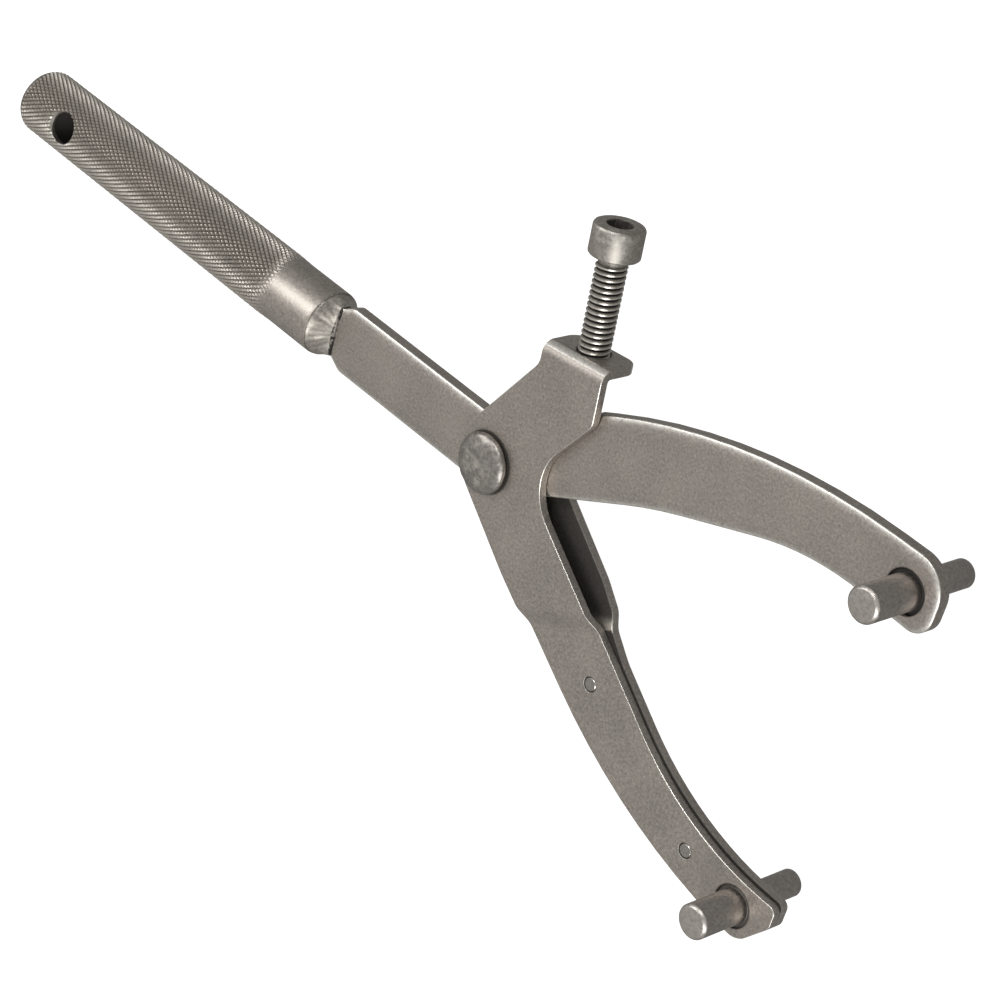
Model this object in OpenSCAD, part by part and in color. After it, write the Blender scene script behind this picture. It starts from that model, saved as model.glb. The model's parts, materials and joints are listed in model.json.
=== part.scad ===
// Adjustable two-peg holding spanner.
//
// A knurled tube handle is welded to a flat bar that ends in a fixed jaw. Two pressed
// plates, riveted together, straddle the bar and swing on one heavy rivet. A socket
// screw through a tab on the front plate presses on a cam edge of the bar, and so sets
// how far apart the two pegs stand. Each peg has a thick front end and a thin back end.
//
// Everything is drawn about the pivot, with +X from the handle to the jaws, +Y towards
// the fixed jaw, +Z out of the front face, and the bar's middle plane at z = 0. The last
// lines move the whole tool, so that the fixed peg leaves the bar's front face at the
// origin.

/* [Bar and fixed jaw] */
// Thickness of the flat bar
bar_t = 4; // [3.2:0.1:5]
// Width of the bar between the handle and the pivot
bar_w = 18.7; // [15:0.1:19]
// Fixed peg: distance from the pivot along the handle
fixed_x = 122; // [100:1:150]
// Fixed peg: distance from the pivot across the handle
fixed_y = 40.5; // [33:0.5:48]
// Metal around the fixed peg, from its axis to the end of the jaw
jaw_end = 9; // [8:0.1:14]
// Metal above the fixed peg, from its axis to the outer edge of the jaw
jaw_outer = 10.1; // [8:0.1:13]
// Metal below the fixed peg, from its axis to the inner edge of the jaw
jaw_inner = 7.3; // [6.6:0.1:10]

/* [Handle] */
// Diameter over the handle's knurling
tube_d = 18.8; // [17:0.1:24]
// Height of the knurling over the smooth tube
knurl_h = 0.2; // [0.1:0.05:0.4]
// Distance from the pivot to the start of the knurling
knurl_start = 83; // [75:1:100]
// Wall of the handle tube
tube_wall = 1.8; // [1.2:0.1:2]
// Distance from the pivot to the jaw end of the tube
tube_start = 67; // [60:1:90]
// Length of the handle tube
tube_len = 129; // [100:1:160]
// Height of the handle's axis over the pivot
handle_y = 0.5; // [0:0.1:2]
// Diameter of the hole across the end of the tube
hang_d = 9; // [5:0.1:10]
// Distance from the end of the tube to that hole's axis
hang_inset = 19.3; // [12:0.1:30]
// Turn of that hole round the handle, away from square to the bar
hang_turn = 12; // [0:1:20]
// Length of the tang inside the tube
tang_len = 14; // [8:0.5:25]
// Length of the ground weld between the tube and the bar
weld_len = 4; // [3:0.1:6]

/* [Swinging arm] */
// Thickness of each plate
plate_t = 2.5; // [2:0.1:3.2]
// Swinging peg: distance from the pivot along the handle
swing_x = 110; // [95:1:130]
// Swinging peg: distance from the pivot across the handle
swing_y = 58.5; // [50:0.5:66]
// Distance from the pivot to the middle of the step where the plates close up
step_at = 38.2; // [36:0.1:44]
// Length of that step
step_len = 6; // [5:0.1:8]
// Direction of the step, seen from the pivot
step_angle = 62.4; // [58:0.1:66]
// How far the back plate's inner edge stands proud of the front plate's, past the step
back_proud = 0.7; // [0:0.1:1.2]
// The same between the pivot and the step, where the back plate is wider
back_extra = 4.6; // [0:0.1:5]

/* [Screw tab] */
// Lean of the screw, away from square to the handle
lean = 7.1; // [5:0.1:9]
// Distance of the screw's axis from the pivot
lever = 20.8; // [18:0.1:23]
// Distance of the screw's axis behind the bar's middle plane
screw_back = 2.5; // [2.4:0.1:3]
// Width of the tab
tab_w = 20.4; // [18:0.1:23]
// Height of the tab's outer face over the pivot, along the screw
tab_h = 37.6; // [36:0.1:42]
// Inside radius of the tab's bend
bend_r = 0.8; // [0.5:0.1:1]
// Metal behind the screw's axis, to the end of the tab
tab_end = 5.8; // [5.2:0.1:8]

/* [Screw] */
// Outside diameter of the thread
screw_d = 8; // [6:0.1:8.4]
// Length of the screw under its head
screw_len = 40; // [36:1:50]
// Length of the screw that shows between the tab and the head
screw_out = 25; // [22:0.5:27]
// Diameter of the socket head
head_d = 13; // [10:0.1:14]
// Height of the socket head
head_h = 8; // [6:0.1:10]
// Width across the flats of the socket
socket_af = 6; // [4:0.1:7]
// Depth of the socket
socket_depth = 4.2; // [3:0.1:5]

/* [Pegs] */
// Diameter of the pegs in front
peg_front_d = 9; // [6:0.1:10]
// Diameter of the pegs behind
peg_back_d = 7; // [5:0.1:9]
// Reach of the pegs in front of the bar's middle plane
peg_front = 16.9; // [12:0.1:25]
// Reach of the pegs behind the bar's middle plane
peg_back = 20; // [12:0.1:25]
// Diameter of the collar that is pressed into the jaw
collar_d = 10.9; // [10.2:0.1:12]
// Depth of the collar's front face below the jaw's face
collar_sunk = 0.7; // [0.2:0.1:1]
// Height of the collar behind the jaw
collar_proud = 0.8; // [0.2:0.1:2]
// Chamfer on the ends of the pegs
peg_chamfer = 0.7; // [0.3:0.1:1]

/* [Rivets] */
// Diameter of the pivot rivet's shank
pivot_d = 9; // [6:0.1:11]
// Diameter of the pivot rivet's heads
pivot_head_d = 16; // [13:0.1:18]
// Height of the pivot rivet's heads
pivot_head_h = 4; // [2.5:0.1:5]
// Diameter of the flush rivets that join the plates
rivet_d = 4; // [3:0.1:5]
// Height of the flush rivets short of each plate's face
rivet_sunk = 0.15; // [0:0.05:0.4]
// Upper flush rivet: distance from the swinging peg along the handle
neck_rivet_dx = 60; // [56:0.5:62]
// Upper flush rivet: distance from the swinging peg across the handle
neck_rivet_dy = 24; // [22:0.5:26]
// Lower flush rivet: distance from the swinging peg along the handle
tip_rivet_dx = 17.7; // [15:0.1:25]
// Lower flush rivet: distance from the swinging peg across the handle
tip_rivet_dy = 3.6; // [2:0.1:5]

/* [Fits] */
// Gap between the bar and each plate
side_gap = 0.1; // [0.05:0.01:0.3]
// Clearance all round where one piece turns or slides in another
running_gap = 0.05; // [0.02:0.01:0.1]
// Gap between the corners of the bar's tang and the bore of the tube
tang_gap = 0.12; // [0.05:0.01:0.3]
// Gap under the screw's tip
tip_gap = 0.3; // [0.1:0.05:0.5]

/* [Hidden] */
$fn = 64;
eps = 0.01;

// Colours
steel = [0.50, 0.48, 0.46];
dark_steel = [0.42, 0.41, 0.40];
bright_steel = [0.62, 0.61, 0.59];

// Heights of the plates' faces over the middle plane: round the bar, and closed up
inner_z = bar_t / 2 + side_gap;
outer_z = inner_z + plate_t;

// Screw: the arm's angle can change from wide_open to closed, in degrees
wide_open = -5;
closed = 36;
tip_h = tab_h + screw_out - screw_len;

// Axes of the flush rivets
neck_rivet_at = [swing_x - neck_rivet_dx, neck_rivet_dy - swing_y];
tip_rivet_at = [swing_x - tip_rivet_dx, tip_rivet_dy - swing_y];

// Handle
tube_end = tube_start + tube_len;
smooth_d = tube_d - 2 * knurl_h;
bore_d = smooth_d - 2 * tube_wall;
hang_x = hang_inset - tube_end;
tang_w = 2 * sqrt(pow(bore_d / 2 - tang_gap, 2) - pow(bar_t / 2, 2));

// A place given along and across the leaning screw, as [x, y]
function leaning(u, n) = [u * cos(lean) - n * sin(lean), u * sin(lean) + n * cos(lean)];

// Corners are [x, y, radius]. Each gives an arc that touches both of its edges, in
// steps of a few degrees, or one plain point where the radius is 0.
arc_step = 3;
function corner(p, r) = [p.x, p.y, r];
function flat(c) = [c.x, c.y];
function toward(a, b) = (flat(b) - flat(a)) / norm(flat(b) - flat(a));
function half_angle(p, c, n) = acos(max(-1, min(1, toward(c, p) * toward(c, n)))) / 2;
function fitted_radius(p, c, n) =
    let (room = 0.9 * min(norm(flat(p) - flat(c)), norm(flat(n) - flat(c))))
    min(c[2], room * tan(half_angle(p, c, n)));
function fillet(p, c, n) =
    let (half = half_angle(p, c, n),
         r = fitted_radius(p, c, n),
         middle = toward([0, 0], toward(c, p) + toward(c, n)),
         centre = flat(c) + middle * r / sin(half),
         from = flat(c) + toward(c, p) * r / tan(half) - centre,
         to = flat(c) + toward(c, n) * r / tan(half) - centre,
         start = atan2(from.y, from.x),
         swing = atan2(to.y, to.x) - start,
         sweep = swing > 180 ? swing - 360 : swing < -180 ? swing + 360 : swing,
         steps = max(2, ceil(abs(sweep) / arc_step)))
    [for (i = [0:steps]) centre + r * [cos(start + sweep * i / steps), sin(start + sweep * i / steps)]];
function rounded(corners) =
    let (last = len(corners) - 1)
    [for (i = [0:last])
        let (c = corners[i], p = corners[i == 0 ? last : i - 1], n = corners[i == last ? 0 : i + 1])
        each c[2] == 0 ? [flat(c)] : fillet(p, c, n)];

// The bar's edge under the screw is an involute of the circle that the screw's axis
// touches, so the screw feeds evenly and stays square to the edge as the arm swings.
function cam_point(angle) =
    let (reach = tip_h - tip_gap - lever * angle * PI / 180)
    [lever * cos(angle) - reach * sin(angle), lever * sin(angle) + reach * cos(angle)];
function cam_edge() =
    [for (angle = [closed:-arc_step:wide_open]) let (c = cam_point(angle)) leaning(c.x, c.y)];

module bar_outline() {
    low = handle_y - bar_w / 2;
    high = handle_y + bar_w / 2;
    tang_tip = -tube_start - tang_len;
    shoulder = -tube_start + weld_len + 4;
    after_cam = cam_point(wide_open);
    jaw = [
        corner(leaning(after_cam.x + screw_d / 2 + 0.5, after_cam.y - 0.4), 0.5),
        corner(leaning(after_cam.x + screw_d / 2 + 1.1, after_cam.y + 2.8), 1.5),
        [fixed_x - 52.6, fixed_y + jaw_outer, 200],
        [fixed_x + jaw_end, fixed_y + jaw_outer, 9],
        [fixed_x + jaw_end, fixed_y - jaw_inner - 1, 5.5],
        [fixed_x - 26.5, fixed_y - jaw_inner + 0.7, 80],
        [fixed_x - 72.4, fixed_y - 23.7, 150],
        [0.2, low, 10]];
    tang = [
        [shoulder, low, 3],
        [shoulder - 4, handle_y - tang_w / 2, 3],
        [tang_tip, handle_y - tang_w / 2, 2],
        [tang_tip, handle_y + tang_w / 2, 2],
        [shoulder - 4, handle_y + tang_w / 2, 3],
        [shoulder, high, 3],
        [2, high, 8]];
    cam = [for (p = cam_edge()) corner(p, 0)];
    polygon(rounded(concat(cam, jaw, tang)));
}

module main_bar() {
    color(steel)
    difference() {
        translate([0, 0, -bar_t / 2]) linear_extrude(bar_t) bar_outline();
        translate([0, 0, -bar_t]) cylinder(d = pivot_d, h = 2 * bar_t);
        translate([fixed_x, fixed_y, -bar_t]) cylinder(d = collar_d, h = 2 * bar_t);
    }
}

module handle_tube() {
    far_chamfer = tube_wall / 3;
    weld_chamfer = 0.7 * tube_wall;
    knurl_len = tube_end - knurl_start;
    color(steel)
    difference() {
        translate([-tube_end, handle_y, 0]) rotate([0, 90, 0]) {
            cylinder(d1 = tube_d - 2 * far_chamfer, d2 = tube_d, h = far_chamfer);
            translate([0, 0, far_chamfer]) cylinder(d = tube_d, h = knurl_len - far_chamfer);
            cylinder(d = smooth_d - 2 * far_chamfer, h = tube_len - weld_chamfer);
            translate([0, 0, knurl_len]) cylinder(d = smooth_d, h = tube_len - knurl_len - weld_chamfer);
            translate([0, 0, tube_len - weld_chamfer])
                cylinder(d1 = smooth_d, d2 = smooth_d - 2 * weld_chamfer, h = weld_chamfer);
        }
        translate([-tube_end - 1, handle_y, 0]) rotate([0, 90, 0]) cylinder(d = bore_d, h = tube_len + 2);
        translate([hang_x, handle_y, 0]) rotate([-hang_turn, 0, 0]) translate([0, 0, -tube_d])
            cylinder(d = hang_d, h = 2 * tube_d);
    }
}

// Two welds, one on each face of the bar, fill the corner between the tube's end and the
// bar. They are ground to a steep slope.
module handle_weld() {
    thin = 0.3;
    foot = 0.1;
    color(dark_steel)
    difference() {
        hull() {
            translate([-tube_start, handle_y, 0]) rotate([0, 90, 0])
                cylinder(d = smooth_d - 1.4 * tube_wall, h = foot, $fn = 48);
            translate([weld_len - tube_start - foot, handle_y - bore_d / 2, -bar_t / 2 - thin])
                cube([foot, bore_d, bar_t + 2 * thin]);
        }
        translate([-tube_start - 1, handle_y - tube_d, -bar_t / 2])
            cube([weld_len + 2, 2 * tube_d, bar_t]);
    }
}

// A turned peg that goes through a jaw: thick end in front, pressed collar inside the
// jaw and thin end behind. The jaw reaches from -half_jaw to half_jaw.
module peg(half_jaw) {
    collar_front = half_jaw - collar_sunk;
    collar_back = -half_jaw - collar_proud;
    translate([0, 0, collar_back]) cylinder(d = collar_d, h = collar_front - collar_back);
    translate([0, 0, collar_front - eps])
        cylinder(d = peg_front_d, h = peg_front - peg_chamfer - collar_front + eps);
    translate([0, 0, peg_front - peg_chamfer])
        cylinder(d1 = peg_front_d, d2 = peg_front_d - 2 * peg_chamfer, h = peg_chamfer);
    translate([0, 0, peg_chamfer - peg_back])
        cylinder(d = peg_back_d, h = collar_back + peg_back - peg_chamfer + eps);
    translate([0, 0, -peg_back])
        cylinder(d1 = peg_back_d - 2 * peg_chamfer, d2 = peg_back_d, h = peg_chamfer);
}

module fixed_peg() {
    color(dark_steel) translate([fixed_x, fixed_y, 0]) peg(bar_t / 2);
}

module swing_peg() {
    color(dark_steel) translate([swing_x, -swing_y, 0]) peg(plate_t);
}

// One head of the pivot rivet, standing on z = 0. It is widest a little above the
// plate, as a hammered head is, and rounds over to its top.
module rivet_head() {
    brim = 0.4 * pivot_head_h;
    rise = pivot_head_h - brim;
    foot = pivot_head_d / 2 - 1.3;
    rotate_extrude()
        polygon(concat([[0, 0], [foot, 0], [foot + 1, brim / 2]],
            [for (a = [0:10:90]) [pivot_head_d / 2 * cos(a), brim + rise * sin(a)]]));
}

module pivot_rivet() {
    grip = outer_z + side_gap;
    color(bright_steel) {
        translate([0, 0, -grip - eps]) cylinder(d = pivot_d, h = 2 * grip + 2 * eps);
        translate([0, 0, grip]) rivet_head();
        mirror([0, 0, 1]) translate([0, 0, grip]) rivet_head();
    }
}

// Corners of an arm plate from its inner edge round the tip to the pivot, past the
// step. proud moves the inner edge outwards.
function arm_corners(proud) = [
    [swing_x - 19, 7.5 - swing_y + proud, 85],
    [swing_x + 11.7, 7.5 - swing_y + proud, 2],
    [swing_x + 11.7, 1.9 - swing_y, 3],
    [swing_x + 4.4, -7.6 - swing_y, 6],
    [swing_x - 38.2, -2.5 - swing_y, 155],
    [14.8, -23.9, 60],
    [-14.1, -2.1, 14]];

// A plate's thickness seen from its edge, following it outwards from the pivot: flat
// against the bar, then a smooth step down to the middle plane.
module plate_profile() {
    start = step_at - step_len / 2;
    steps = 12;
    drop = [for (i = [0:steps]) [start + step_len * i / steps, inner_z * (1 + cos(180 * i / steps)) / 2]];
    lower = concat([[-60, inner_z]], drop, [[200, 0]]);
    upper = [for (i = [len(lower) - 1:-1:0]) lower[i] + [0, plate_t]];
    polygon(concat(lower, upper));
}

module arm_sheet() {
    rotate([0, 0, -step_angle]) translate([0, 200, 0]) rotate([90, 0, 0])
        linear_extrude(400) plate_profile();
}

module arm_holes() {
    translate([0, 0, -outer_z]) cylinder(d = pivot_d + 2 * running_gap, h = 4 * outer_z);
    translate([swing_x, -swing_y, -outer_z]) cylinder(d = collar_d, h = 4 * outer_z);
    for (at = [neck_rivet_at, tip_rivet_at])
        translate([at.x, at.y, -outer_z]) cylinder(d = rivet_d, h = 4 * outer_z);
}

// The tab seen along its bend, as [z, height]. The bend starts where the plate ends, and
// the flat runs past the tab's end, to be trimmed to the footprint.
module tab_profile() {
    outside = bend_r + plate_t;
    centre = [outer_z - outside, tab_h - outside];
    quarter = [for (a = [0:9:90]) [cos(a), sin(a)]];
    outer = [for (q = quarter) centre + outside * q];
    inner = [for (i = [len(quarter) - 1:-1:0]) centre + bend_r * quarter[i]];
    past_end = -screw_back - tab_end - 1;
    polygon(concat(outer, [[past_end, tab_h], [past_end, tab_h - plate_t]], inner));
}

module screw_tab() {
    left = lever - tab_w / 2;
    right = lever + tab_w / 2;
    end = -screw_back - tab_end;
    footprint = [[left, outer_z + 1, 0], [right, outer_z + 1, 0], [right, end, 4], [left, end, 4.5]];
    rotate([0, 0, lean]) difference() {
        intersection() {
            translate([right + 1, 0, 0]) rotate([0, -90, 0]) linear_extrude(tab_w + 2) tab_profile();
            translate([0, tab_h + 1, 0]) rotate([90, 0, 0]) linear_extrude(tab_h) polygon(rounded(footprint));
        }
        screw_path(screw_d / 2 + running_gap);
    }
}

module screw_path(r) {
    translate([lever, 0, -screw_back]) rotate([-90, 0, 0]) cylinder(r = r, h = 2 * tab_h);
}

module front_plate() {
    bend_from = tab_h - plate_t - bend_r;
    neck = [
        corner(leaning(lever - tab_w / 2, 31.5), 5),
        corner(leaning(lever - tab_w / 2, bend_from), 0),
        corner(leaning(lever + tab_w / 2, bend_from), 0),
        corner(leaning(lever + tab_w / 2, 23.2), 4),
        [13.1, 3.5, 13.7]];
    color(steel) {
        difference() {
            intersection() {
                linear_extrude(2 * outer_z) polygon(rounded(concat(neck, arm_corners(0))));
                arm_sheet();
            }
            arm_holes();
        }
        screw_tab();
    }
}

// The back plate stops short of the screw, which passes behind the bar's middle plane.
// Between the pivot and the step its inner edge lies further out than the front plate's.
module back_plate() {
    shoulder = [
        [-4.5, 9.4 + back_extra, 9],
        [6.5, 9.4 + back_extra, 6],
        [40.5, back_extra - 15.6, 20],
        [55.5, back_proud - 26.1, 25]];
    color(steel)
    mirror([0, 0, 1]) difference() {
        intersection() {
            linear_extrude(2 * outer_z) polygon(rounded(concat(shoulder, arm_corners(back_proud))));
            arm_sheet();
        }
        arm_holes();
    }
}

module flush_rivet(at) {
    reach = plate_t - rivet_sunk;
    color(dark_steel) translate([at.x, at.y, -reach]) cylinder(d = rivet_d, h = 2 * reach);
}

module neck_rivet() {
    flush_rivet(neck_rivet_at);
}

module tip_rivet() {
    flush_rivet(tip_rivet_at);
}

// Drawn with its tip at z = 0 and its head up. The shank has the thread's outside
// diameter.
module socket_screw() {
    point = 0.8;
    edge = 0.6;
    difference() {
        union() {
            cylinder(d1 = screw_d - 2 * point, d2 = screw_d, h = point);
            translate([0, 0, point]) cylinder(d = screw_d, h = screw_len - point);
            translate([0, 0, screw_len]) cylinder(d = head_d, h = head_h - edge);
            translate([0, 0, screw_len + head_h - edge])
                cylinder(d1 = head_d, d2 = head_d - 2 * edge, h = edge);
        }
        translate([0, 0, screw_len + head_h - socket_depth])
            cylinder(d = socket_af / cos(30), h = socket_depth + 1, $fn = 6);
    }
}

module adjusting_screw() {
    color(bright_steel)
    rotate([0, 0, lean]) translate([lever, tip_h, -screw_back]) rotate([-90, 0, 0]) socket_screw();
}

translate([-fixed_x, -fixed_y, -bar_t / 2]) {
    handle_tube();
    handle_weld();
    main_bar();
    fixed_peg();
    pivot_rivet();
    front_plate();
    back_plate();
    neck_rivet();
    tip_rivet();
    swing_peg();
    adjusting_screw();
}
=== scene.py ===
import json
import math
from contextlib import contextmanager

import bpy
from mathutils import Matrix, Vector
from mathutils.kdtree import KDTree


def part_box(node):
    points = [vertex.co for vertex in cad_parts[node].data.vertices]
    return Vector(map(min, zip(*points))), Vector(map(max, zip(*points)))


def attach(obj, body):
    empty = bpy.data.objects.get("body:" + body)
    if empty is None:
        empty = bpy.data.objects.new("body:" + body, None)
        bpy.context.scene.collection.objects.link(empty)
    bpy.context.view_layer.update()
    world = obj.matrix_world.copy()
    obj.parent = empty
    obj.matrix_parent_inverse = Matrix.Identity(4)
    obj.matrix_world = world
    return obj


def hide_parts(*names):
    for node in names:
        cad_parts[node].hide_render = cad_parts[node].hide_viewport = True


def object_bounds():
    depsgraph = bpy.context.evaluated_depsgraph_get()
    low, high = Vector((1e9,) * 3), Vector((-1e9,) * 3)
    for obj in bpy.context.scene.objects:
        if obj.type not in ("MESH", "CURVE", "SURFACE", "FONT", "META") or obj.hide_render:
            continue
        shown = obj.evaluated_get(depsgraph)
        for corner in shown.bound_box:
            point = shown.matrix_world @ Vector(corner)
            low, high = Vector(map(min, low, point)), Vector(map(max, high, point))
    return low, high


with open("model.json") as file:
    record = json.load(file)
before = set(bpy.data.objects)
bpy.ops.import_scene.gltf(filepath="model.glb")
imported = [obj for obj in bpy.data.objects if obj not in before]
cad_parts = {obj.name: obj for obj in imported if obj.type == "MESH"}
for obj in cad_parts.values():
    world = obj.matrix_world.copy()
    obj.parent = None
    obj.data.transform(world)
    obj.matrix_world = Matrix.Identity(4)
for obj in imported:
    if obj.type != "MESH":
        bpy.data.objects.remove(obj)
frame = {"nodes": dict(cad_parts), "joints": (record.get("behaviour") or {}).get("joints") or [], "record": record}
cad_box = [list(corner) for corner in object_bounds()]
mounts = {mount["name"]: mount for mount in frame["record"]["mounts"]}
MM = 0.001


# ---------------------------------------------------------------- camera, light and floor
# A long lens looks down on the front face from the screw's side. It is rolled so that
# the handle runs from the top left to the jaws at the lower right.
forward = Vector((-0.5448, -0.4875, -0.6823)).normalized()
side = forward.cross(Vector((-0.5232, 0.8335, -0.1776))).normalized()
up = side.cross(forward)
camera_data = bpy.data.cameras.new("camera")
camera_data.sensor_width = 36
camera_data.lens = 111.34
camera = bpy.data.objects.new("camera", camera_data)
camera.matrix_world = Matrix((side, up, -forward)).transposed().to_4x4()
camera.location = (0.3018, 0.3254, 0.5237)
bpy.context.scene.collection.objects.link(camera)
bpy.context.scene.camera = camera
bpy.context.scene.view_settings.view_transform = "Standard"

middle = (Vector(cad_box[0]) + Vector(cad_box[1])) / 2


def softbox(name, direction, distance, width, height, watts):
    """A plain rectangular soft light, aimed at the middle of the tool."""
    light = bpy.data.lights.new(name, "AREA")
    light.shape = "RECTANGLE"
    light.size = width
    light.size_y = height
    light.energy = watts
    lamp = bpy.data.objects.new(name, light)
    toward = Vector(direction).normalized()
    lamp.location = middle + toward * distance
    lamp.rotation_euler = toward.to_track_quat("Z", "Y").to_euler()
    bpy.context.scene.collection.objects.link(lamp)


softbox("key_softbox", (-0.54, 0.43, 0.72), distance=1.3, width=0.75, height=0.5, watts=4.2)
softbox("side_softbox", (0.7, -0.3, 0.62), distance=1.5, width=0.6, height=0.8, watts=8)
softbox("rim_softbox", (0.12, 0.74, 0.66), distance=1.5, width=0.35, height=0.25, watts=3.5)

# The studio round the tool: pale above the tool and dimmer below it.
studio = bpy.data.worlds.new("studio")
studio.use_nodes = True
nodes, links = studio.node_tree.nodes, studio.node_tree.links
place = nodes.new("ShaderNodeTexCoord")
split = nodes.new("ShaderNodeSeparateXYZ")
glow = nodes.new("ShaderNodeMapRange")
glow.inputs["From Min"].default_value = -0.35
glow.inputs["From Max"].default_value = 0.55
glow.inputs["To Min"].default_value = 0.25
glow.inputs["To Max"].default_value = 0.45
links.new(place.outputs["Generated"], split.inputs[0])
links.new(split.outputs["Z"], glow.inputs["Value"])
links.new(glow.outputs["Result"], nodes["Background"].inputs["Strength"])
nodes["Background"].inputs["Color"].default_value = (1.0, 0.985, 0.965, 1)
bpy.context.scene.world = studio

# A plain pale floor at the level of the tool's lowest point. It gives off a little light
# of its own so that it stays pale, and the steel neither mirrors it nor is lit by it.
bpy.ops.object.select_all(action="DESELECT")
bpy.ops.mesh.primitive_circle_add(
    vertices=96, radius=6, fill_type="NGON", location=(0, 0, cad_box[0][2])
)
floor = bpy.context.object
floor.name = "floor"
floor.visible_glossy = False
floor.visible_diffuse = False
paint = bpy.data.materials.new("pale_floor")
paint.use_nodes = True
shader = paint.node_tree.nodes["Principled BSDF"]
shader.inputs["Base Color"].default_value = (0.4, 0.4, 0.4, 1)
shader.inputs["Roughness"].default_value = 1
shader.inputs["Specular IOR Level"].default_value = 0
shader.inputs["Emission Color"].default_value = (1, 1, 1, 1)
shader.inputs["Emission Strength"].default_value = 0.93
floor.data.materials.append(paint)


# -------------------------------------------------------------------------- bar and jaw
# One blanked 4 mm plate is the shank, the hub and the fixed jaw. The punch has rolled
# its front edge over, and tumbling has worn that edge bright.
SAME_PLACE = 0.002 * MM  # points closer than this are one point
SHARP = math.radians(32)  # edges that turn more than this are rounded


def solo(piece):
    """Selects one piece alone and makes it the active one."""
    bpy.ops.object.select_all(action="DESELECT")
    piece.select_set(True)
    bpy.context.view_layer.objects.active = piece


@contextmanager
def editing(piece, kind, everything=True):
    """Edit mode on one piece, by its points, edges or faces, with all or none selected."""
    solo(piece)
    bpy.ops.object.mode_set(mode="EDIT")
    bpy.ops.mesh.select_mode(type=kind)
    bpy.ops.mesh.select_all(action="SELECT" if everything else "DESELECT")
    yield
    bpy.ops.object.mode_set(mode="OBJECT")


@contextmanager
def chosen(piece, kind, wanted):
    """Edit mode with those points, edges or faces selected for which wanted is true."""
    with editing(piece, kind, everything=False):
        pass
    mesh = piece.data
    for part in {"VERT": mesh.vertices, "EDGE": mesh.edges, "FACE": mesh.polygons}[kind]:
        part.select = bool(wanted(part))
    bpy.ops.object.mode_set(mode="EDIT")
    yield
    bpy.ops.object.mode_set(mode="OBJECT")


def from_node(name, node):
    """A piece that starts as a copy of a CAD node, with its loose triangles merged."""
    piece = bpy.data.objects.new(name, frame["nodes"][node].data.copy())
    bpy.context.scene.collection.objects.link(piece)
    piece.data.materials.clear()
    with editing(piece, "VERT"):
        bpy.ops.mesh.remove_doubles(threshold=SAME_PLACE)
    if piece.data.has_custom_normals:
        bpy.ops.mesh.customdata_custom_splitnormals_clear()
    return piece


def faces_on_edges(piece):
    """How many faces meet at each edge."""
    count = {}
    for face in piece.data.polygons:
        for key in face.edge_keys:
            count[key] = count.get(key, 0) + 1
    return count


def merge_flat(piece, wanted, apart):
    """Merges points closer than apart, and makes each flat area of wanted faces one face."""
    with editing(piece, "VERT"):
        bpy.ops.mesh.remove_doubles(threshold=apart)
    with chosen(piece, "FACE", wanted):
        bpy.ops.mesh.dissolve_limited(angle_limit=math.radians(0.5))


def finish(piece, body, slot, material, *replaced, angle=28, large_flats=False):
    """Shades a piece, gives it its material, and says what it rides on and replaces."""
    with editing(piece, "VERT"):
        bpy.ops.mesh.remove_doubles(threshold=SAME_PLACE)
    bpy.ops.object.transform_apply(location=True, rotation=True, scale=True)
    bpy.ops.object.shade_smooth_by_angle(angle=math.radians(angle))
    if large_flats:
        weigh = piece.modifiers.new("weigh", "WEIGHTED_NORMAL")
        weigh.keep_sharp = True
        weigh.weight = 100
        bpy.ops.object.modifier_apply(modifier=weigh.name)
    piece.data.materials.clear()
    piece.data.materials.append(material)
    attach(piece, body)
    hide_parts(*replaced)


def open_loop(piece, level, skip, clearance):
    """The points, in order, of the open edge at that height, clear of the skipped axes."""
    beside = {}
    for (first, second), count in faces_on_edges(piece).items():
        if count == 1:
            beside.setdefault(first, []).append(second)
            beside.setdefault(second, []).append(first)
    spots = piece.data.vertices
    fits = [
        n for n in beside
        if abs(spots[n].co.z - level) < 0.01 * MM
        and all((spots[n].co - axis).xy.length > clearance for axis in skip)
    ]
    order = [fits[0]]
    while True:
        ahead = [n for n in beside[order[-1]] if n not in order[-2:] and n != order[0]]
        if not ahead or len(order) > len(fits):
            return order
        order.append(ahead[0])


def moved_inward(points, depth):
    """The outline moved inwards. Points that a tight corner crowds out are spaced evenly."""
    count = len(points)
    area = sum(p.x * q.y - q.x * p.y for p, q in zip(points, points[1:] + points[:1]))
    turn = 1 if area > 0 else -1
    near = KDTree(4 * count)
    for n, point in enumerate(points):
        ahead = points[(n + 1) % count]
        for quarter in range(4):
            near.insert(point.lerp(ahead, quarter / 4), 4 * n + quarter)
    near.balance()
    moved = []
    for n, point in enumerate(points):
        run = points[(n + 1) % count] - points[n - 1]
        inward = Vector((-run.y, run.x, 0)).normalized() * turn
        target = point + inward * depth
        moved.append(target if near.find(target)[2] > 0.97 * depth else None)
    good = [n for n, target in enumerate(moved) if target is not None]
    for last, following in zip(good, good[1:] + [good[0] + count]):
        for n in range(last + 1, following):
            share = (n - last) / (following - last)
            moved[n % count] = moved[last].lerp(moved[following % count], share)
    return moved


bar = from_node("blanked_bar", "main_bar")
bar_low, bar_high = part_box("main_bar")
pivot = Vector(frame["joints"][0]["pos_m"])
fixed_peg_axis = Vector(mounts["fixed_peg_front"]["pos_m"])
roll_width = 3.4 * MM
roll_drop = 0.65 * MM
roll_steps = 5
largest_hole = 6 * MM

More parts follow.
